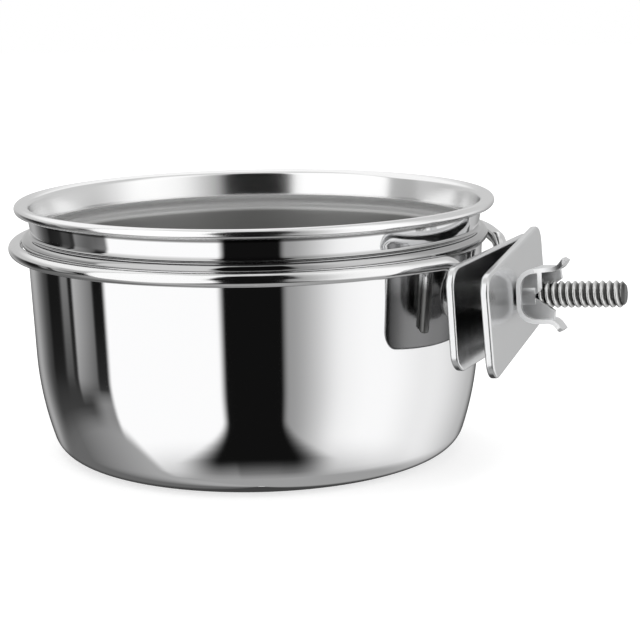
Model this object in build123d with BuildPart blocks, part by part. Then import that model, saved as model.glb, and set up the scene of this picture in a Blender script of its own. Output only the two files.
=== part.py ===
from build123d import *
import os
from math import acos, atan2, cos, degrees, hypot, radians, sin, sqrt, tan

# Seed cup: a drawn steel cup that hangs by its bead in a wire ring, with a bolt clamp for cage bars.
# Millimetres. +Z is up and +X points from the cup to the clamp. The origin is the middle of the base.

# Cup
cup_height = 63.5  # base to the top of the lip
cup_radius = 57.0  # outside of the wall, just under the bead
sheet = 0.7  # drawn sheet
wall_taper = 2.2  # degrees that the wall leans outwards
flank_radius = 80.0  # gentle curve between the wall and the bottom corner
flank_angle = 17.5  # lean of the wall where the corner begins, degrees
corner_radius = 7.0
bead_drop = 9.4  # from the top of the lip down to the bead's widest point
bead_height = 1.4  # bead beyond the wall
bead_roll = 1.6  # outside radius of the bead
bead_foot = 0.8  # hollow radius above and below the bead
collar_inset = 0.8  # foot of the collar inside the wall
collar_angle = 9.0  # lean of the collar, degrees
lip_overhang = 3.0  # lip beyond the wall
lip_roll = 1.2  # outside radius of the rolled edge
lip_roll_angle = 215.0  # how far the edge is rolled under, degrees
brim_angle = 75.0  # lean of the brim between the collar and the rolled edge, degrees
brim_bend = 0.6  # hollow radius under the brim

# Wire ring
wire_diameter = 3.5
ring_clearance = 1.25  # between the ring and the wall
ring_seat = 0.25  # between the ring and the bead that rests on it
leg_spacing = 30.0
leg_length = 19.0  # from the ring's level down
leg_bend = 6.0  # bend radius at the middle of the wire
leg_end_round = 0.5
weld_depth = 0.25  # wire sunk into the plate where it is welded

# Clamp plates
plate_width = 60.0
plate_height = 24.2
plate_thickness = 2.0
plate_corner = 4.8
plate_edge = 0.6  # rounded edge of the plates
plate_drop = 1.0  # middle of the plates below the bolt
plate_standoff = 5.3  # from the cup's wall to the inner plate
bolt_drop = 12.2  # bolt below the bead, at the inner plate's back
clamp_tilt = 3.9  # the clamp looks up by this much, degrees
jaw_gap = 3.2  # between the plates, at the bolt
jaw_splay = 5.5  # the outer plate hangs askew on the bolt, degrees
jaw_roll = 4.2  # and is turned about the bolt, degrees
bolt_play = 0.5  # hole of the outer plate round the bolt

# Bolt
bolt_diameter = 6.35
bolt_length = 33.0  # under the head
bolt_tip = 0.8  # chamfer at the free end
head_diameter = 14.0
head_height = 3.0
head_rim = 0.8  # straight edge of the domed head
neck_length = 3.2  # square neck under the head
neck_play = 0.1

# Wing nut, pressed from sheet
nut_sheet = 1.1
nut_width = 9.4
nut_span = 13.0  # across the straight part of the wings
nut_tip_span = 17.0  # across the flared tips
nut_height = 10.0
nut_knee = 8.6  # height where the tips flare out
nut_bend = 4.4  # outside radius of the two big bends
nut_knee_bend = 2.0
nut_tip_corner = 1.2  # leading corner of each tip
nut_tip_width = 4.6  # across the top of each tip
nut_tail_rise = 4.6  # height of the trailing edge of each wing
nut_tail_bow = 0.8
nut_web_rise = 3.8  # height of the side webs, at the bolt
nut_web_reach = 3.4  # ends of the side webs, from the bolt's axis
nut_web_end = 9.0  # height of the side webs, at their ends
nut_web_inset = 0.9  # side webs, behind the edges of the strip
nut_turn = -3.0  # wings turned from upright, degrees
nut_seat = 0.25  # between the nut and the nearest edge of the plate
nut_collar_diameter = 8.6
nut_collar_height = 4.4
thread_play = 0.06

os.makedirs("parts", exist_ok=True)

# Cup: one section of even sheet, turned about the cup's axis
lean = radians(wall_taper)
flank_lean = radians(flank_angle)
bead_radius = cup_radius + bead_height
bead_level = cup_height - bead_drop
bead_sum = bead_roll + bead_foot
low_turn = acos((bead_roll + bead_foot * cos(lean) - bead_height) / bead_sum)
high_turn = acos(1 - (bead_height + collar_inset) / bead_sum)

corner_rise = corner_radius * (1 - sin(flank_lean))
flank_rise = flank_radius * (sin(flank_lean) - sin(lean))
wall_top = bead_level - bead_sum * sin(low_turn) + bead_foot * sin(lean)
wall_length = (wall_top - corner_rise - flank_rise) / cos(lean)
corner_reach = corner_radius * cos(flank_lean)
flank_reach = flank_radius * (cos(lean) - cos(flank_lean))
flat_radius = cup_radius - wall_length * sin(lean) - flank_reach - corner_reach

roll_inside = lip_roll - sheet
collar_lean = radians(collar_angle)
brim_lean = radians(brim_angle)
brim_turn = sin(brim_lean - collar_lean)
foot_reach = bead_foot * (1 - cos(collar_lean)) - collar_inset
foot_level = bead_level + bead_sum * sin(high_turn) + bead_foot * sin(collar_lean)
lip_reach = lip_overhang - lip_roll - roll_inside * cos(brim_lean)
lip_level = cup_height - lip_roll + roll_inside * sin(brim_lean)
reach = lip_reach - foot_reach - brim_bend * (cos(collar_lean) - cos(brim_lean))
rise = lip_level - foot_level - brim_bend * (sin(brim_lean) - sin(collar_lean))
collar_length = (rise * sin(brim_lean) - reach * cos(brim_lean)) / brim_turn
brim_length = (reach * cos(collar_lean) - rise * sin(collar_lean)) / brim_turn


def sheet_side(depth):
    # one side of the sheet, this deep inside the outer side, from the axis to the rolled edge
    base = Line((0, depth), (flat_radius, depth))
    corner = JernArc(base @ 1, base % 1, corner_radius - depth, 90 - flank_angle)
    flank = JernArc(corner @ 1, corner % 1, flank_radius - depth, flank_angle - wall_taper)
    wall = PolarLine(flank @ 1, wall_length, direction=flank % 1)
    foot = JernArc(wall @ 1, wall % 1, bead_foot + depth, wall_taper - degrees(low_turn))
    bead = JernArc(foot @ 1, foot % 1, bead_roll - depth, degrees(low_turn + high_turn))
    shoulder = JernArc(bead @ 1, bead % 1, bead_foot + depth, -degrees(high_turn) - collar_angle)
    collar = PolarLine(shoulder @ 1, collar_length, direction=shoulder % 1)
    turn = JernArc(collar @ 1, collar % 1, brim_bend + depth, collar_angle - brim_angle)
    brim = PolarLine(turn @ 1, brim_length, direction=turn % 1)
    roll = JernArc(brim @ 1, brim % 1, roll_inside + depth, -lip_roll_angle)
    return base @ 0, roll @ 1


with BuildPart() as cup:
    with BuildSketch(Plane.XZ):
        with BuildLine():
            outside = sheet_side(0)
            inside = sheet_side(sheet)
            Line(outside[0], inside[0])
            Line(outside[1], inside[1])
        make_face()
    revolve(axis=Axis.Z)
cup.part.label = "cup"
export_step(cup.part, "parts/cup.step")

# Clamp plane: on the inner plate's back, local x to the side, y up and z out along the bolt
plate_back = cup_radius + plate_standoff
bolt_level = bead_level - bolt_drop
tilt = radians(clamp_tilt)
clamp = Plane(origin=(plate_back, 0, bolt_level), x_dir=(0, 1, 0), z_dir=(cos(tilt), 0, sin(tilt)))
bolt_axis = Axis(clamp.origin, clamp.z_dir)
bolt_radius = bolt_diameter / 2

with BuildPart() as inner_plate:
    with BuildSketch(clamp):
        with Locations((0, -plate_drop)):
            RectangleRounded(plate_width, plate_height, plate_corner)
        Rectangle(bolt_diameter + 2 * neck_play, bolt_diameter + 2 * neck_play, mode=Mode.SUBTRACT)
    extrude(amount=plate_thickness)
    rims = inner_plate.edges().filter_by(bolt_axis, reverse=True)
    fillet(rims.filter_by(lambda edge: (edge.center() - clamp.origin).length > plate_height / 4), plate_edge)
inner_plate.part.label = "inner_plate"
export_step(inner_plate.part, "parts/inner_plate.step")

# Wire ring: round the cup, off along two straight tails, then down behind the inner plate
wire_radius = wire_diameter / 2
ring_radius = cup_radius + ring_clearance + wire_radius
bead_offset = ring_radius - (bead_radius - bead_roll)
ring_level = bead_level - sqrt((bead_roll + wire_radius + ring_seat) ** 2 - bead_offset**2)

leg_depth = wire_radius - weld_depth
turn_x = plate_back - (leg_depth + (ring_level - bolt_level) * sin(tilt)) / cos(tilt)
turn_y = leg_spacing / 2
turn_distance = hypot(turn_x, turn_y)
tail_angle = atan2(turn_y, turn_x) + acos(ring_radius / turn_distance)
back_turn = Vector(turn_x, turn_y, ring_level)
back_tangent = Vector(ring_radius * cos(tail_angle), ring_radius * sin(tail_angle), ring_level)
tail_way = (back_turn - back_tangent).normalized()
leg_way = -clamp.y_dir
bend_reach = leg_bend * tan(radians(tail_way.get_angle(leg_way)) / 2)
back_bend = back_turn - tail_way * bend_reach
back_leg_top = back_turn + leg_way * bend_reach
back_leg_end = back_turn + leg_way * leg_length


def across(point):
    return Vector(point.X, -point.Y, point.Z)


with BuildPart() as ring_wire:
    with BuildLine() as ring_path:
        Line(back_leg_end, back_leg_top)
        TangentArc(back_leg_top, back_bend, tangent=-leg_way)
        Line(back_bend, back_tangent)
        ThreePointArc(back_tangent, (-ring_radius, 0, ring_level), across(back_tangent))
        Line(across(back_tangent), across(back_bend))
        TangentArc(across(back_bend), across(back_leg_top), tangent=across(tail_way))
        Line(across(back_leg_top), across(back_leg_end))
    with BuildSketch(Plane(origin=back_leg_end, z_dir=-leg_way)):
        Circle(wire_radius)
    sweep(path=ring_path.wires()[0])
    fillet(ring_wire.faces().filter_by(Plane(clamp.origin, z_dir=clamp.y_dir)).edges(), leg_end_round)
    add(inner_plate.part, mode=Mode.SUBTRACT)
ring_wire.part.label = "ring_wire"
export_step(ring_wire.part, "parts/ring_wire.step")

# Bolt: low domed head between the plate and the cup, square neck, plain shank
head_radius = head_diameter / 2
with BuildPart() as bolt:
    with BuildSketch(Plane(origin=clamp.origin, x_dir=clamp.y_dir, z_dir=clamp.x_dir)):
        with BuildLine():
            edge = Line((head_radius, 0), (head_radius, -head_rim))
            RadiusArc(edge @ 1, (0, -head_height), (head_radius**2 + (head_height - head_rim) ** 2)
                      / (2 * (head_height - head_rim)))
            Polyline((0, -head_height), (0, bolt_length), (bolt_radius - bolt_tip, bolt_length),
                     (bolt_radius, bolt_length - bolt_tip), (bolt_radius, 0), (head_radius, 0))
        make_face()
    revolve(axis=bolt_axis)
    with BuildSketch(clamp):
        Rectangle(bolt_diameter, bolt_diameter)
    extrude(amount=neck_length)
bolt.part.label = "bolt"
export_step(bolt.part, "parts/bolt.step")

# Outer plate: loose on the bolt, so it hangs askew, with its back edge near the inner plate
upright = Axis(clamp.origin, clamp.y_dir)
outer_side = clamp.x_dir.rotate(bolt_axis, jaw_roll).rotate(upright, jaw_splay)
outer_way = clamp.z_dir.rotate(upright, jaw_splay)
outer = Plane(clamp.offset(plate_thickness + jaw_gap).origin, x_dir=outer_side, z_dir=outer_way)
with BuildPart() as outer_plate:
    with BuildSketch(outer):
        with Locations((0, -plate_drop)):
            RectangleRounded(plate_width, plate_height, plate_corner)
    extrude(amount=plate_thickness)
    fillet(outer_plate.edges().filter_by(Axis(outer.origin, outer.z_dir), reverse=True), plate_edge)
    with BuildSketch(clamp):
        Circle(bolt_radius + bolt_play)
    extrude(amount=bolt_length, mode=Mode.SUBTRACT)
outer_plate.part.label = "outer_plate"
export_step(outer_plate.part, "parts/outer_plate.step")

# Wing nut: a bent strip with side webs and a collar for the thread. The wings match by a half turn:
# each one runs out to a flared tip at its leading side and is trimmed low at its trailing side.
nut_reach = hypot(nut_span / 2 - nut_bend / 2, nut_width / 2)
plate_face = plate_thickness + jaw_gap + plate_thickness / cos(radians(jaw_splay))
nut_level = plate_face + nut_reach * tan(radians(jaw_splay)) + nut_seat
nut_across = clamp.x_dir.rotate(bolt_axis, nut_turn)
nut = Plane(clamp.offset(nut_level).origin, x_dir=nut_across, z_dir=clamp.z_dir)
nut_side = Plane(origin=nut.origin, x_dir=nut.y_dir, z_dir=nut.x_dir)
nut_bends = (nut_knee_bend, nut_bend, nut_bend, nut_knee_bend)
nut_turns = (
    (nut_tip_span / 2, nut_height),
    (nut_span / 2, nut_knee),
    (nut_span / 2, 0),
    (-nut_span / 2, 0),
    (-nut_span / 2, nut_knee),
    (-nut_tip_span / 2, nut_height),
)
tip_end = nut_tip_width - nut_width / 2
nut_lower = Plane(origin=nut.origin, x_dir=nut.x_dir, z_dir=-nut.y_dir)
nut_upper = Plane(origin=nut.origin, x_dir=-nut.x_dir, z_dir=nut.y_dir)
with BuildPart() as wing_nut:
    with BuildSketch(nut_side):
        with BuildLine():
            FilletPolyline(*nut_turns, radius=nut_bends)
            offset(amount=nut_sheet, side=Side.RIGHT)
        make_face()
    extrude(amount=nut_width / 2, both=True)
    tips = wing_nut.edges().filter_by(lambda edge: abs(edge.length - nut_sheet) < nut_sheet / 100)
    fillet(tips, nut_tip_corner)
    with BuildSketch(nut_side.offset(nut_width / 2 - nut_web_inset - nut_sheet)):
        with BuildLine():
            under = FilletPolyline(*nut_turns[1:5], radius=nut_bend)
            web_ends = ((-nut_web_reach, nut_web_end), (0, nut_web_rise), (nut_web_reach, nut_web_end))
            Polyline(under @ 1, *web_ends, under @ 0)
        make_face()
    extrude(amount=nut_sheet)
    mirror(about=nut_side)
    with BuildSketch(nut_lower, nut_upper):
        with BuildLine():
            tail = SagittaArc((tip_end, nut_height), (nut_width / 2, nut_tail_rise), -nut_tail_bow)
            outer_foot, outer_top = (nut_width, nut_tail_rise), (nut_width, 2 * nut_height)
            Polyline(tail @ 1, outer_foot, outer_top, (tip_end, 2 * nut_height), tail @ 0)
        make_face()
    extrude(amount=nut_tip_span, mode=Mode.SUBTRACT)
    with BuildSketch(nut):
        Circle(nut_collar_diameter / 2)
    extrude(amount=nut_collar_height)
    with BuildSketch(nut):
        Circle(bolt_radius + thread_play)
    extrude(amount=nut_height, mode=Mode.SUBTRACT)
wing_nut.part.label = "wing_nut"
export_step(wing_nut.part, "parts/wing_nut.step")
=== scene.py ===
import bpy
from math import acos, atan2, cos, degrees, hypot, pi, radians, sin, sqrt, tan
from mathutils import Matrix, Vector


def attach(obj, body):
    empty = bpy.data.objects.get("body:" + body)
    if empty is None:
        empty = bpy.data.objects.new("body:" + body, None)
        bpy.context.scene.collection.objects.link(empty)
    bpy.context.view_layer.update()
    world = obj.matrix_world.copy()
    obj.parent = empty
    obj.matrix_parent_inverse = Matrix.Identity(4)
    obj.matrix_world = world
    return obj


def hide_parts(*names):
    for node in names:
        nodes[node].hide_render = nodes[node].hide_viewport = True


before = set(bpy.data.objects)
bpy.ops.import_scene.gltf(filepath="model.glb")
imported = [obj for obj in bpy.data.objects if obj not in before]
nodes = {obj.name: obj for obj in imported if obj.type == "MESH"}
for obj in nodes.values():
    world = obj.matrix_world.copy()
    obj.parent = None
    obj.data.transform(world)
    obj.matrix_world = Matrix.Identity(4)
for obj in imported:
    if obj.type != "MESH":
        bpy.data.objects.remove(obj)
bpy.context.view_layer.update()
scene = bpy.context.scene
mm = 0.001
print("frame loaded", sorted(nodes))


# mesh helpers, all in millimetres
def addMesh(name, verts, faces, smooth=True):
    mesh = bpy.data.meshes.new(name)
    mesh.from_pydata([Vector(v) * mm for v in verts], [], faces)
    mesh.validate()
    mesh.update()
    if smooth:
        mesh.polygons.foreach_set("use_smooth", [True] * len(mesh.polygons))
    obj = bpy.data.objects.new(name, mesh)
    scene.collection.objects.link(obj)
    return obj


def circlePoints(count):
    angles = [2 * pi * k / count for k in range(count)]
    return [(cos(a), sin(a)) for a in angles]


def ringQuads(rings, count, flip=False):
    # quads between rings of count points that follow each other
    quads = []
    for row in range(rings - 1):
        low = row * count
        high = low + count
        for k in range(count):
            n = (k + 1) % count
            a, b = (n, k) if flip else (k, n)
            quads.append((low + a, low + b, high + b, high + a))
    return quads


def arcPoints(start, heading, radius, turn, steps):
    # points after start, turning left for a positive turn, angles in degrees
    side = 1 if turn > 0 else -1
    h = radians(heading)
    cx = start[0] - side * radius * sin(h)
    cy = start[1] + side * radius * cos(h)
    points = []
    for i in range(1, steps + 1):
        a = h + radians(turn) * i / steps
        points.append((cx + side * radius * sin(a), cy - side * radius * cos(a)))
    return points, heading + turn


def linePoints(start, heading, length, steps):
    h = radians(heading)
    reaches = [length * i / steps for i in range(1, steps + 1)]
    return [(start[0] + cos(h) * reach, start[1] + sin(h) * reach) for reach in reaches]


# clamp frame shared by the wire, the plates, the bolt and the nut
clamp = {"tilt": 3.9, "back": 62.3, "level": 41.9, "nutTurn": -3.0}
tilt = radians(clamp["tilt"])
nutTurn = radians(clamp["nutTurn"])
clampOrigin = Vector((clamp["back"], 0, clamp["level"]))
clampOut = Vector((cos(tilt), 0, sin(tilt)))
clampUp = Vector((-sin(tilt), 0, cos(tilt)))
clampSide = Vector((0, 1, 0))


def clampPoint(side, up, out):
    return clampOrigin + clampSide * side + clampUp * up + clampOut * out


# shader helpers, in metres like the meshes that they dress
noiseSpan = (0.3, 0.7)
fadeOut = (1.0, 0.0)


def newMaterial(name):
    mat = bpy.data.materials.new(name)
    mat.use_nodes = True
    tree = mat.node_tree
    tree.nodes.clear()
    out = tree.nodes.new("ShaderNodeOutputMaterial")
    bsdf = tree.nodes.new("ShaderNodeBsdfPrincipled")
    tree.links.new(bsdf.outputs[0], out.inputs[0])
    return mat, tree, bsdf


def addNode(tree, kind, **values):
    node = tree.nodes.new(kind)
    for key, value in values.items():
        if hasattr(node, key):
            setattr(node, key, value)
        else:
            node.inputs[key.replace("_", " ")].default_value = value
    return node


def splitAxes(tree, output="Object"):
    # X, Y and Z of a place on the piece or of its normal
    coord = tree.nodes.new("ShaderNodeTexCoord")
    split = tree.nodes.new("ShaderNodeSeparateXYZ")
    tree.links.new(coord.outputs[output], split.inputs[0])
    return split.outputs


def stretchedNoise(tree, scale, stretch, detail=4.0, rough=0.55):
    # noise in object space, drawn out along one or more axes
    coord = tree.nodes.new("ShaderNodeTexCoord")
    mapping = addNode(tree, "ShaderNodeMapping", Scale=stretch)
    noise = addNode(tree, "ShaderNodeTexNoise", Scale=scale, Detail=detail, Roughness=rough)
    tree.links.new(coord.outputs["Object"], mapping.inputs["Vector"])
    tree.links.new(mapping.outputs["Vector"], noise.inputs["Vector"])
    return noise


def ringNoise(tree, scale, detail=4.0, rough=0.55):
    # noise that only changes with the distance from the upright axis and with the height
    axes = splitAxes(tree)
    flat = tree.nodes.new("ShaderNodeCombineXYZ")
    reach = addNode(tree, "ShaderNodeVectorMath", operation="LENGTH")
    ring = tree.nodes.new("ShaderNodeCombineXYZ")
    noise = addNode(tree, "ShaderNodeTexNoise", Scale=scale, Detail=detail, Roughness=rough)
    tree.links.new(axes["X"], flat.inputs["X"])
    tree.links.new(axes["Y"], flat.inputs["Y"])
    tree.links.new(flat.outputs[0], reach.inputs[0])
    tree.links.new(reach.outputs["Value"], ring.inputs["X"])
    tree.links.new(axes["Z"], ring.inputs["Z"])
    tree.links.new(ring.outputs[0], noise.inputs["Vector"])
    return noise


def remap(tree, source, fromSpan, toSpan=(0.0, 1.0)):
    node = tree.nodes.new("ShaderNodeMapRange")
    node.inputs["From Min"].default_value, node.inputs["From Max"].default_value = fromSpan
    node.inputs["To Min"].default_value, node.inputs["To Max"].default_value = toSpan
    tree.links.new(source, node.inputs["Value"])
    return node.outputs["Result"]


def multiply(tree, first, second):
    node = addNode(tree, "ShaderNodeMath", operation="MULTIPLY")
    tree.links.new(first, node.inputs[0])
    tree.links.new(second, node.inputs[1])
    return node.outputs[0]


def fromClamp(tree, operation, axis):
    # product of an axis and the way from the clamp's origin
    coord = tree.nodes.new("ShaderNodeTexCoord")
    shift = addNode(tree, "ShaderNodeVectorMath", operation="SUBTRACT")
    shift.inputs[1].default_value = clampOrigin * mm
    product = addNode(tree, "ShaderNodeVectorMath", operation=operation)
    product.inputs[1].default_value = axis
    tree.links.new(coord.outputs["Object"], shift.inputs[0])
    tree.links.new(shift.outputs["Vector"], product.inputs[0])
    return product


def blendValue(tree, bsdf, name, value, share):
    socket = bsdf.inputs[name]
    mix = tree.nodes.new("ShaderNodeMix")
    mix.inputs["A"].default_value = socket.default_value
    mix.inputs["B"].default_value = value
    if socket.is_linked:
        tree.links.new(socket.links[0].from_socket, mix.inputs["A"])
    tree.links.new(share, mix.inputs["Factor"])
    tree.links.new(mix.outputs["Result"], socket)


def blendColour(tree, bsdf, colour, share):
    socket = bsdf.inputs["Base Color"]
    mix = addNode(tree, "ShaderNodeMixRGB", Color1=tuple(socket.default_value), Color2=(*colour, 1))
    if socket.is_linked:
        tree.links.new(socket.links[0].from_socket, mix.inputs["Color1"])
    tree.links.new(share, mix.inputs["Fac"])
    tree.links.new(mix.outputs["Color"], socket)


def addSatinAndShade(tree, bsdf, look):
    # rougher below one level, where the metal was never buffed, and painted darker below another, as
    # painted shade
    height = splitAxes(tree)["Z"]
    share = remap(tree, height, look["satinLevel"], fadeOut)
    blendValue(tree, bsdf, "Roughness", look["satinRough"], share)
    # painted shade: the colour is darkened below a level, deep in the cup and on the wire's legs between
    # the cup and the plate
    blendColour(tree, bsdf, look["shadeColour"], remap(tree, height, look["shadeLevel"], fadeOut))
    if "grooveLevel" in look:  # the bead's groove is matt, and catches light from all round
        above = remap(tree, height, look["grooveLevel"])
        blendValue(tree, bsdf, "Metallic", look["grooveMetal"], multiply(tree, above, share))


def addPaintedBackShade(tree, bsdf, look):
    # painted shade: the side that faces the cup is painted dark and made smoother, up to a level near its
    # top
    facing = remap(tree, splitAxes(tree, "Normal")["X"], look["backShadeFacing"], fadeOut)
    below = remap(tree, splitAxes(tree)["Z"], look["backShadeTop"], fadeOut)
    share = multiply(tree, facing, below)
    blendValue(tree, bsdf, "Roughness", look["backShadeRough"], share)
    blendColour(tree, bsdf, look["backShade"], share)


def addThreadRootShade(tree, bsdf, look):
    # painted shade in the thread's roots, by distance from the bolt's axis
    across = fromClamp(tree, "CROSS_PRODUCT", clampOut)
    reach = addNode(tree, "ShaderNodeVectorMath", operation="LENGTH")
    tree.links.new(across.outputs["Vector"], reach.inputs[0])
    share = remap(tree, reach.outputs["Value"], look["threadRootShadeRadius"], fadeOut)
    blendColour(tree, bsdf, look["threadRootShade"], share)


def addShearedRim(tree, bsdf, look):
    # the strip's two cut edges are matt and pale, by distance from the nut's middle plane
    across = fromClamp(tree, "DOT_PRODUCT", look["rimAxis"])
    reach = addNode(tree, "ShaderNodeMath", operation="ABSOLUTE")
    tree.links.new(across.outputs["Value"], reach.inputs[0])
    share = remap(tree, reach.outputs["Value"], look["rimReach"])
    blendValue(tree, bsdf, "Roughness", look["rimRough"], share)
    blendValue(tree, bsdf, "Metallic", look["rimMetal"], share)


def addPaintedShadeBands(tree, bsdf, look):
    # bands of height painted darker, as painted shade: one under the lip's roll, one over the bead
    height = splitAxes(tree)["Z"]
    for low, high, soft, shade in look["paintedShadeBands"]:
        above = remap(tree, height, (low - soft, low + soft))
        below = remap(tree, height, (high - soft, high + soft), fadeOut)
        blendColour(tree, bsdf, (shade, shade, shade), multiply(tree, above, below))


# surface finishes, and the painted shade that some looks carry
finishesAndShades = (
    ("satinLevel", addSatinAndShade),
    ("backShade", addPaintedBackShade),
    ("threadRootShade", addThreadRootShade),
    ("rimReach", addShearedRim),
    ("paintedShadeBands", addPaintedShadeBands),
)
grainDetail = 6.0
grainDepth = 0.0002
bevelSamples = 6


def steel(name, look):
    mat, tree, bsdf = newMaterial(name)
    bsdf.inputs["Metallic"].default_value = 1.0
    bsdf.inputs["Base Color"].default_value = (*look["colour"], 1)
    smudge = stretchedNoise(tree, look["smudgeScale"], (1, 1, 1))
    tree.links.new(remap(tree, smudge.outputs["Fac"], noiseSpan, look["rough"]), bsdf.inputs["Roughness"])
    if "rings" in look:
        grain = ringNoise(tree, look["rings"], detail=grainDetail)
    else:
        grain = stretchedNoise(tree, look["grainScale"], look["grainStretch"], detail=grainDetail)
    bump = addNode(tree, "ShaderNodeBump", Strength=look["grain"], Distance=grainDepth)
    tree.links.new(grain.outputs["Fac"], bump.inputs["Height"])
    tree.links.new(bump.outputs["Normal"], bsdf.inputs["Normal"])
    if "bevel" in look:
        rounded = addNode(tree, "ShaderNodeBevel", samples=bevelSamples, Radius=look["bevel"])
        tree.links.new(rounded.outputs["Normal"], bump.inputs["Normal"])
    for key, addFinishOrShade in finishesAndShades:
        if key in look:
            addFinishOrShade(tree, bsdf, look)
    return mat


cupOutsideLook = {
    "colour": (0.86, 0.86, 0.865), "rough": (0.025, 0.055), "smudgeScale": 35.0,
    "grain": 0.01, "grainScale": 60.0, "grainStretch": (1, 1, 14),
    # painted shade: bands of height darkened under the lip's roll and over the bead
    "paintedShadeBands": ((0.0602, 0.0616, 0.0002, 0.2), (0.0524, 0.0567, 0.0003, 0.52)),
}
cupInsideLook = {
    "colour": (0.92, 0.92, 0.92), "rough": (0.13, 0.18), "smudgeScale": 60.0,
    "grain": 0.035, "rings": 1500.0,
    "satinLevel": (0.0555, 0.0572), "satinRough": 0.42,
    # painted shade: darker below this level, deeper in the cup
    "shadeLevel": (0.0522, 0.0546), "shadeColour": (0.43, 0.43, 0.425),
    "grooveLevel": (0.0518, 0.0532), "grooveMetal": 0.2,
}
wireLook = {
    "colour": (0.86, 0.86, 0.86), "rough": (0.06, 0.11), "smudgeScale": 200.0,
    "grain": 0.02, "grainScale": 900.0, "grainStretch": (1, 1, 1),
    "satinLevel": (0.044, 0.048), "satinRough": 0.4,
    # painted shade: the legs are darker below this level, between the cup and the plate
    "shadeLevel": (0.044, 0.048), "shadeColour": (0.22, 0.22, 0.215),
}
plateLook = {
    "colour": (0.82, 0.825, 0.83), "rough": (0.16, 0.26), "smudgeScale": 120.0,
    "grain": 0.06, "grainScale": 350.0, "grainStretch": (1, 0.12, 1), "bevel": 0.00025,
    # painted shade on the side that faces the cup
    "backShade": (0.27, 0.27, 0.27), "backShadeRough": 0.12, "backShadeTop": (0.042, 0.049), "backShadeFacing": (-0.8, -0.4),
}
boltLook = {
    "colour": (0.8, 0.8, 0.79), "rough": (0.14, 0.24), "smudgeScale": 300.0,
    "grain": 0.03, "grainScale": 1200.0, "grainStretch": (1, 1, 1),
    # painted shade in the thread's roots
    "threadRootShade": (0.09, 0.09, 0.088), "threadRootShadeRadius": (0.00258, 0.00305),
}
nutLook = {
    "colour": (0.93, 0.935, 0.94), "rough": (0.26, 0.36), "smudgeScale": 220.0,
    "grain": 0.04, "grainScale": 800.0, "grainStretch": (1, 1, 1), "bevel": 0.0002,
    "rimAxis": clampSide * cos(nutTurn) + clampUp * sin(nutTurn),
    "rimReach": (0.0045, 0.00465), "rimRough": 0.45, "rimMetal": 0.4,
}
cupOutside = steel("cupOutside", cupOutsideLook)
cupInside = steel("cupInside", cupInsideLook)
wireSteel = steel("wireSteel", wireLook)
plateSteel = steel("plateSteel", plateLook)
boltSteel = steel("boltSteel", boltLook)
nutSteel = steel("nutSteel", nutLook)
print("materials made")

# cup, a fine revolved sheet so that the mirror finish shows no facets
cup = {
    "height": 63.5, "radius": 57.0, "sheet": 0.7, "taper": 2.2, "flankRadius": 80.0, "flankAngle": 17.5,
    "corner": 7.0, "beadLevel": 54.1, "beadHeight": 1.4, "beadRoll": 1.6, "beadFoot": 0.8,
    "collarInset": 0.8, "lipOverhang": 3.0, "lipRoll": 1.2, "lipTurn": 215.0, "collarAngle": 9.0,
    "brimAngle": 75.0, "brimBend": 0.6, "segments": 360,
}
cupSteps = {
    "base": 12, "corner": 14, "flank": 16, "wall": 20, "beadLow": 8, "bead": 18, "beadHigh": 10,
    "collar": 6, "brimBend": 10, "brim": 3, "lip": 24,
}


def cupSide(depth):
    # one side of the sheet, this deep inside the outer side, from the axis to the rolled edge
    lean, flankLean = radians(cup["taper"]), radians(cup["flankAngle"])
    collarLean, brimLean = radians(cup["collarAngle"]), radians(cup["brimAngle"])
    beadSum = cup["beadRoll"] + cup["beadFoot"]
    lowTurn = acos((cup["beadRoll"] + cup["beadFoot"] * cos(lean) - cup["beadHeight"]) / beadSum)
    highTurn = acos(1 - (cup["beadHeight"] + cup["collarInset"]) / beadSum)
    rise = cup["corner"] * (1 - sin(flankLean)) + cup["flankRadius"] * (sin(flankLean) - sin(lean))
    wallTop = cup["beadLevel"] - beadSum * sin(lowTurn) + cup["beadFoot"] * sin(lean)
    wallLength = (wallTop - rise) / cos(lean)
    reach = cup["corner"] * cos(flankLean) + cup["flankRadius"] * (cos(lean) - cos(flankLean))
    flat = cup["radius"] - wallLength * sin(lean) - reach
    # the collar and the brim are as long as the bead's foot and the lip ask
    rollInside = cup["lipRoll"] - cup["sheet"]
    footReach = cup["beadFoot"] * (1 - cos(collarLean)) - cup["collarInset"]
    footLevel = cup["beadLevel"] + beadSum * sin(highTurn) + cup["beadFoot"] * sin(collarLean)
    lipReach = cup["lipOverhang"] - cup["lipRoll"] - rollInside * cos(brimLean)
    lipLevel = cup["height"] - cup["lipRoll"] + rollInside * sin(brimLean)
    across = lipReach - footReach - cup["brimBend"] * (cos(collarLean) - cos(brimLean))
    up = lipLevel - footLevel - cup["brimBend"] * (sin(brimLean) - sin(collarLean))
    collarLength = (up * sin(brimLean) - across * cos(brimLean)) / sin(brimLean - collarLean)
    brimLength = (across * cos(collarLean) - up * sin(collarLean)) / sin(brimLean - collarLean)
    # straights are a name and a length, bends are a name, a radius and a turn
    route = (
        ("base", flat),
        ("corner", cup["corner"] - depth, 90 - cup["flankAngle"]),
        ("flank", cup["flankRadius"] - depth, cup["flankAngle"] - cup["taper"]),
        ("wall", wallLength),
        ("beadLow", cup["beadFoot"] + depth, cup["taper"] - degrees(lowTurn)),
        ("bead", cup["beadRoll"] - depth, degrees(lowTurn + highTurn)),
        ("beadHigh", cup["beadFoot"] + depth, -degrees(highTurn) - cup["collarAngle"]),
        ("collar", collarLength),
        ("brimBend", cup["brimBend"] + depth, cup["collarAngle"] - cup["brimAngle"]),
        ("brim", brimLength),
        ("lip", rollInside + depth, -cup["lipTurn"]),
    )
    points, heading = [(0.0, depth)], 0
    for name, size, *turn in route:
        if turn:
            bend, heading = arcPoints(points[-1], heading, size, turn[0], cupSteps[name])
            points += bend
        else:
            points += linePoints(points[-1], heading, size, cupSteps[name])
    return points


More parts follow.
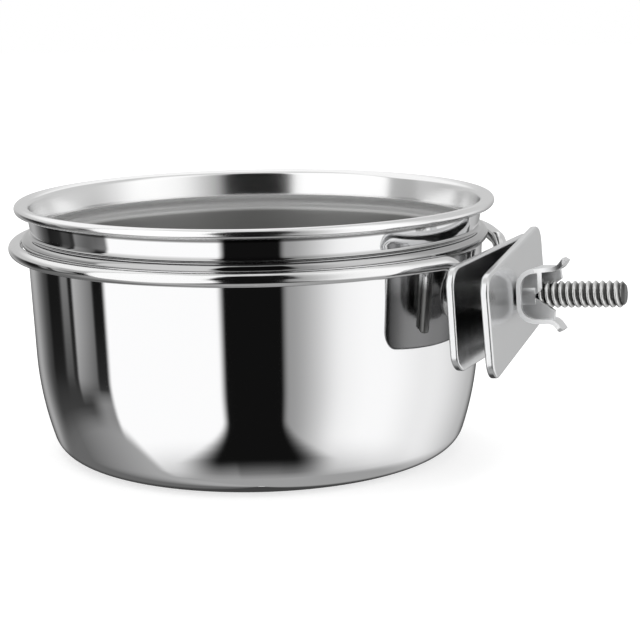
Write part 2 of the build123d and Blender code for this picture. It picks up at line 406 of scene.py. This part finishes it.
def buildCup():
    outer, inner = cupSide(0), cupSide(cup["sheet"])
    count = cup["segments"]
    loop = outer[1:] + inner[:0:-1]
    insideFrom = len(outer) - 1
    verts = [(r * c, r * s, z) for r, z in loop for c, s in circlePoints(count)]
    faces = ringQuads(len(loop), count)
    inside = [row >= insideFrom for row in range(len(loop) - 1) for k in range(count)]
    foot, well = len(verts), len(verts) + 1
    verts += [(0, 0, 0), (0, 0, cup["sheet"])]
    last = (len(loop) - 1) * count
    for k in range(count):
        n = (k + 1) % count
        faces += [(foot, n, k), (well, last + k, last + n)]
        inside += [False, True]
    obj = addMesh("seedCup", verts, faces)
    obj.data.materials.append(cupOutside)
    obj.data.materials.append(cupInside)
    obj.data.polygons.foreach_set("material_index", [int(flag) for flag in inside])
    return obj


seedCup = buildCup()
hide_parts("cup")
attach(seedCup, "cup_body")
print("cup made")

# wire ring, one tube along the same route as the solid
wire = {
    "radius": 1.75, "clearance": 1.25, "seat": 0.25, "legSpacing": 30.0, "legLength": 19.0, "bend": 6.0,
    "weld": 0.25, "endRound": 0.5, "sides": 40,
    "legSteps": 8, "bendSteps": 16, "tailSteps": 6, "ringSteps": 240, "endSteps": 5,
}


def wireRoute():
    ringRadius = cup["radius"] + wire["clearance"] + wire["radius"]
    beadCentre = cup["radius"] + cup["beadHeight"] - cup["beadRoll"]
    reach = cup["beadRoll"] + wire["radius"] + wire["seat"]
    level = cup["beadLevel"] - sqrt(reach ** 2 - (ringRadius - beadCentre) ** 2)
    depth = wire["radius"] - wire["weld"]
    turnX = clamp["back"] - (depth + (level - clamp["level"]) * sin(tilt)) / cos(tilt)
    turnY = wire["legSpacing"] / 2
    tail = atan2(turnY, turnX) + acos(ringRadius / hypot(turnX, turnY))
    corner = Vector((turnX, turnY, level))
    leave = Vector((ringRadius * cos(tail), ringRadius * sin(tail), level))
    way = (corner - leave).normalized()
    down = -clampUp
    angle = way.angle(down)
    back = wire["bend"] * tan(angle / 2)
    # one half, from the end of a leg round the bend and along the tail
    half = [corner + down * wire["legLength"]]
    legTop = corner + down * back
    half += [half[0].lerp(legTop, i / wire["legSteps"]) for i in range(1, wire["legSteps"] + 1)]
    inward = (down - way * way.dot(down)).normalized()
    centre = corner - way * back + inward * wire["bend"]
    for i in range(1, wire["bendSteps"] + 1):
        a = angle * (1 - i / wire["bendSteps"])
        half.append(centre - inward * wire["bend"] * cos(a) + way * wire["bend"] * sin(a))
    bendEnd = half[-1]
    half += [bendEnd.lerp(leave, i / wire["tailSteps"]) for i in range(1, wire["tailSteps"] + 1)]
    route = list(half)
    sweep = 2 * pi - 2 * tail
    for i in range(1, wire["ringSteps"]):
        a = tail + sweep * i / wire["ringSteps"]
        route.append(Vector((ringRadius * cos(a), ringRadius * sin(a), level)))
    route += [Vector((p.x, -p.y, p.z)) for p in reversed(half)]
    return route


def tubeEnd(point, inward, tangent):
    # rings of one rounded end, from the tip inwards
    rings = []
    for k in range(wire["endSteps"] + 1):
        a = pi / 2 * k / wire["endSteps"]
        radius = wire["radius"] - wire["endRound"] * (1 - sin(a))
        rings.append((point + inward * wire["endRound"] * (1 - cos(a)), tangent, radius))
    return rings


def buildTube(name, route):
    # tube with a carried frame and rounded end caps
    sides = wire["sides"]
    tangents = []
    for i in range(len(route)):
        a, b = route[max(i - 1, 0)], route[min(i + 1, len(route) - 1)]
        tangents.append((b - a).normalized())
    rings = tubeEnd(route[0], tangents[0], tangents[0])
    rings += [(route[i], tangents[i], wire["radius"]) for i in range(1, len(route) - 1)]
    rings += tubeEnd(route[-1], -tangents[-1], tangents[-1])[::-1]
    side = rings[0][1].orthogonal().normalized()
    verts = []
    for centre, tangent, r in rings:
        side = (side - tangent * side.dot(tangent)).normalized()
        other = tangent.cross(side)
        verts += [centre + (side * c + other * s) * r for c, s in circlePoints(sides)]
    last = (len(rings) - 1) * sides
    faces = ringQuads(len(rings), sides)
    faces += [tuple(reversed(range(sides))), tuple(range(last, last + sides))]
    return addMesh(name, verts, faces)


ringTube = buildTube("wireRing", wireRoute())
ringTube.data.materials.append(wireSteel)
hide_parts("ring_wire")
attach(ringTube, "holder")
print("wire made")

# bolt with its rolled thread
bolt = {
    "radius": 3.175, "length": 33.0, "tip": 0.8, "headRadius": 7.0, "headHeight": 3.0, "headRim": 0.8,
    "headEdge": 0.15, "neck": 3.2, "sharp": 50.0,
    "pitch": 1.65, "depth": 0.62, "crest": 0.12, "flank": 0.76, "rounding": 0.35,
    "tipRoot": 0.2, "sides": 72, "samples": 16, "domeSteps": 12,
}


def threadRadius(s, angle):
    phase = (s / bolt["pitch"] - angle / (2 * pi)) % 1.0
    wave = abs(2 * phase - 1)
    cut = min(max((wave - bolt["crest"]) / bolt["flank"], 0), 1)
    cut = cut * cut * (3 - 2 * cut) * bolt["rounding"] + cut * (1 - bolt["rounding"])
    r = bolt["radius"] - bolt["depth"] * cut
    # the thread runs out at the neck and at the tip
    r = min(r, bolt["radius"] - bolt["depth"] + s - bolt["neck"])
    toTip = bolt["length"] - s
    if toTip < bolt["tip"] + bolt["depth"]:
        r = min(r, bolt["radius"] - bolt["tip"] - bolt["depth"] * bolt["tipRoot"] + toTip)
    return r


def buildBolt():
    # one closed skin: domed head, square neck, thread and tip, as rings along the bolt
    sides, radius, height = bolt["sides"], bolt["headRadius"], bolt["headHeight"]
    circle = circlePoints(sides)
    drop = height - bolt["headRim"]
    domeRadius = (radius ** 2 + drop ** 2) / (2 * drop)
    edge = bolt["headEdge"]
    profile = []
    for i in range(1, bolt["domeSteps"]):
        r = radius * i / bolt["domeSteps"]
        profile.append((r, -height + domeRadius - sqrt(domeRadius ** 2 - r ** 2)))
    profile += [(radius, -bolt["headRim"]), (radius, -edge), (radius - edge, 0.0)]
    rings = [(s, [r] * sides) for r, s in profile]
    square = [bolt["radius"] / max(abs(c), abs(z)) for c, z in circle]
    rings += [(0.0, square), (bolt["neck"], square)]
    shank = bolt["length"] - bolt["neck"]
    rows = int(shank / bolt["pitch"] * bolt["samples"])
    for row in range(rows + 1):
        s = bolt["neck"] + shank * row / rows
        rings.append((s, [threadRadius(s, 2 * pi * k / sides) for k in range(sides)]))
    verts = [clampPoint(r * c, r * z, s) for s, reaches in rings for r, (c, z) in zip(reaches, circle)]
    last = (len(rings) - 1) * sides
    faces = ringQuads(len(rings), sides)
    faces += [tuple(reversed(range(sides))), tuple(range(last, last + sides))]
    return addMesh("clampBolt", verts, faces)


clampBolt = buildBolt()
clampBolt.data.set_sharp_from_angle(angle=radians(bolt["sharp"]))
clampBolt.data.materials.append(boltSteel)
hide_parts("bolt")
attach(clampBolt, "holder")
print("bolt made")

# plates and nut keep their solids
for name, mat in (("inner_plate", plateSteel), ("outer_plate", plateSteel), ("wing_nut", nutSteel)):
    nodes[name].data.materials.clear()
    nodes[name].data.materials.append(mat)
print("plates and nut dressed")

# camera, fitted to the rim, the base and the clamp
view = {
    "azimuth": 26.5, "distance": 430.0, "height": 117.6, "pitch": 11.37, "pan": 2.12, "roll": -0.9,
    "lens": 96.5, "sensor": 36.0, "clip": (0.01, 50.0),
}
cam = bpy.data.cameras.new("camera")
cam.lens = view["lens"]
cam.sensor_width = view["sensor"]
cam.clip_start, cam.clip_end = view["clip"]
camera = bpy.data.objects.new("camera", cam)
scene.collection.objects.link(camera)
az = radians(view["azimuth"])
camera.location = Vector((view["distance"] * sin(az), -view["distance"] * cos(az), view["height"])) * mm
turn = Matrix.Rotation(radians(view["azimuth"] - view["pan"]), 4, "Z")
lift = Matrix.Rotation(radians(90 - view["pitch"]), 4, "X")
spin = Matrix.Rotation(radians(view["roll"]), 4, "Z")
camera.rotation_euler = (turn @ lift @ spin).to_euler()
scene.camera = camera

# white floor that keeps a soft shadow
floor = {"radius": 2400.0, "sides": 96, "colour": (0.5, 0.5, 0.5), "rough": 0.9, "glow": 0.6}
floorRim = [(floor["radius"] * c, floor["radius"] * s, 0) for c, s in circlePoints(floor["sides"])]
floorObj = addMesh("floor", floorRim, [tuple(range(floor["sides"]))], smooth=False)
floorMat, _, floorBsdf = newMaterial("floorPaper")
floorBsdf.inputs["Base Color"].default_value = (*floor["colour"], 1)
floorBsdf.inputs["Roughness"].default_value = floor["rough"]
floorBsdf.inputs["Specular IOR Level"].default_value = 0.0
floorBsdf.inputs["Emission Color"].default_value = (1, 1, 1, 1)
floorBsdf.inputs["Emission Strength"].default_value = floor["glow"]
floorObj.data.materials.append(floorMat)
floorObj.visible_glossy = False

# studio: a tent of panels that only the metal sees
# turn is from the camera's side with right positive, rise is above the table, both in degrees
studio = {
    "radius": 1400.0, "centre": 30.0, "base": 0.45, "columns": 720, "rise": (-89.0, 85.0),
    "coarse": 2.0, "fine": 0.35, "fineBand": (-62, -28), "slantRound": 12,
}
panels = [
    {"name": "right sweep", "turn": (13, 200), "rise": (-60, 80), "light": 0.33, "edge": (5, 14)},
    {"name": "right softbox", "turn": (29, 150), "rise": (-60, 75), "light": 0.95, "edge": (34, 14)},
    {"name": "right hot spot", "turn": (44, 80), "rise": (-50, 60), "light": 1.1, "edge": (30, 20)},
    {"name": "right fade", "turn": (125, 200), "rise": (-60, 75), "light": 0.5, "edge": (55, 14)},
    {"name": "upper right", "turn": (84, 200), "rise": (2, 60), "light": 0.62, "edge": (34, 12)},
    {"name": "left rear", "turn": (-200, -100), "rise": (-60, 70), "light": 0.6, "edge": (6, 10)},
    {"name": "upper left", "turn": (-200, -84), "rise": (22, 70), "light": 1.0, "edge": (20, 16)},
    {"name": "left flags", "turn": (-144, -55), "rise": (-60, 2), "light": 0.048, "edge": (34, 8)},
    {"name": "wide flag", "turn": (-127, -114), "rise": (-16.5, 2), "light": 0.01, "edge": (4, 9)},
    {"name": "thin gap", "turn": (-112.8, -106.3), "rise": (-13, 2), "light": 0.25, "edge": (3.5, 9)},
    {"name": "thin flag", "turn": (-106.3, -102.8), "rise": (-16, 2), "light": 0.015, "edge": (2, 9)},
    {"name": "gap", "turn": (-102.8, -87.5), "rise": (-17, 2), "light": 0.47, "edge": (2.5, 10),
     "ramp": (-102, -88, 0.18)},
    {"name": "narrow flag", "turn": (-87.5, -70), "rise": (-16.5, 2), "light": 0.008, "edge": (2.5, 9)},
    {"name": "low left", "turn": (-91, -70), "rise": (-60, -19.5), "light": 0.27, "edge": (12, 4)},
    {"name": "left softbox", "turn": (-79.7, -14), "rise": (-60, 75), "light": 1.13, "edge": (3.5, 8)},
    {"name": "overhead", "turn": (-200, 200), "rise": (66, 120), "light": 0.72, "edge": (1, 12)},
    {"name": "ground", "turn": (-200, 200), "rise": (-120, -43.5), "light": 0.38, "edge": (1, 22)},
    {"name": "ground left", "turn": (-200, -20), "rise": (-120, -23.2), "light": 0.15, "edge": (50, 7),
     "slant": (-78, -1.2), "ramp": (-118, -70, 0.42)},
    {"name": "under the cup", "turn": (155, 205), "rise": (-90, -8), "light": 0.06, "edge": (20, 14)},
    {"name": "black drape", "turn": (-17.6, 13), "rise": (-48.5, 62), "light": 0.006, "edge": (4.5, 12),
     "flare": (-27, -42, 22, 1.2)},
    {"name": "drape top", "turn": (-21, 18), "rise": (5, 62), "light": 0.006, "edge": (5, 6)},
]


def panelShare(value, span, edge):
    inside = min(value - span[0], span[1] - value) / edge + 0.5
    inside = min(max(inside, 0), 1)
    return inside * inside * (3 - 2 * inside)


def panelLight(turn, rise):
    # later panels stand in front of earlier ones
    light = studio["base"]
    for panel in panels:
        low, high = panel["turn"]
        bottom, top = panel["rise"]
        edge, glow = panel["edge"][0], panel["light"]
        if "flare" in panel:  # wider and softer below this rise
            start, end, most, soft = panel["flare"]
            spread = most * min(max((start - rise) / (start - end), 0), 1) ** 2
            low, high, edge = low - spread, high + spread, edge + soft * spread
        if "ramp" in panel:  # changes to another light between two turns
            start, end, goal = panel["ramp"]
            glow += (goal - glow) * min(max((turn - start) / (end - start), 0), 1)
        if "slant" in panel:  # the top edge bends into a slant at this turn
            past = turn - panel["slant"][0]
            top += panel["slant"][1] * (past + hypot(past, studio["slantRound"])) / 2
        share = max(panelShare(turn + lap, (low, high), edge) for lap in (-360, 0, 360))
        share *= panelShare(rise, (bottom, top), panel["edge"][1])
        light = light * (1 - share) + glow * share
    return light


def buildStudio():
    columns, radius = studio["columns"], studio["radius"]
    lowest, highest = studio["rise"]
    rises = [lowest]
    while rises[-1] < highest:
        inBand = studio["fineBand"][0] <= rises[-1] < studio["fineBand"][1]
        rises.append(rises[-1] + (studio["fine"] if inBand else studio["coarse"]))
    verts, lights = [], []
    for rise in rises:
        flat = radius * cos(radians(rise))
        level = studio["centre"] + radius * sin(radians(rise))
        for k in range(columns):
            turn = -180 + 360 * k / columns
            a = radians(turn + view["azimuth"] - 90)
            verts.append((flat * cos(a), flat * sin(a), level))
            lights.append(panelLight(turn, rise))
    obj = addMesh("studioTent", verts, ringQuads(len(rises), columns, flip=True))
    layer = obj.data.attributes.new("light", "FLOAT", "POINT")
    layer.data.foreach_set("value", lights)
    mat = bpy.data.materials.new("studioPanels")
    mat.use_nodes = True
    tree = mat.node_tree
    tree.nodes.clear()
    out = tree.nodes.new("ShaderNodeOutputMaterial")
    glow = tree.nodes.new("ShaderNodeEmission")
    value = addNode(tree, "ShaderNodeAttribute", attribute_name="light")
    tree.links.new(value.outputs["Fac"], glow.inputs["Strength"])
    tree.links.new(glow.outputs[0], out.inputs[0])
    obj.data.materials.append(mat)
    return obj


studioTent = buildStudio()
studioTent.visible_camera = False
studioTent.visible_diffuse = False
studioTent.visible_shadow = False

world = bpy.data.worlds.new("studio")
scene.world = world
world.use_nodes = True
worldTree = world.node_tree
worldTree.nodes.clear()
worldOut = worldTree.nodes.new("ShaderNodeOutputWorld")
white = addNode(worldTree, "ShaderNodeBackground", Color=(1, 1, 1, 1), Strength=1.0)
worldTree.links.new(white.outputs[0], worldOut.inputs[0])

# one soft lamp overhead, placed in metres, for the shadow on the floor
lamp = {"place": (0.1, 0.0, 1.2), "target": (0.02, 0.0, 0.0), "size": 1.4, "power": 8.0}
lampData = bpy.data.lights.new("overhead", "AREA")
lampData.shape = "RECTANGLE"
lampData.size = lampData.size_y = lamp["size"]
lampData.energy = lamp["power"]
lampObj = bpy.data.objects.new("overhead", lampData)
scene.collection.objects.link(lampObj)
lampObj.location = Vector(lamp["place"])
lampWay = Vector(lamp["target"]) - Vector(lamp["place"])
lampObj.rotation_euler = lampWay.to_track_quat("-Z", "Y").to_euler()
lampObj.visible_glossy = False
lampObj.visible_camera = False
scene.view_settings.view_transform = "Standard"
print("studio made")
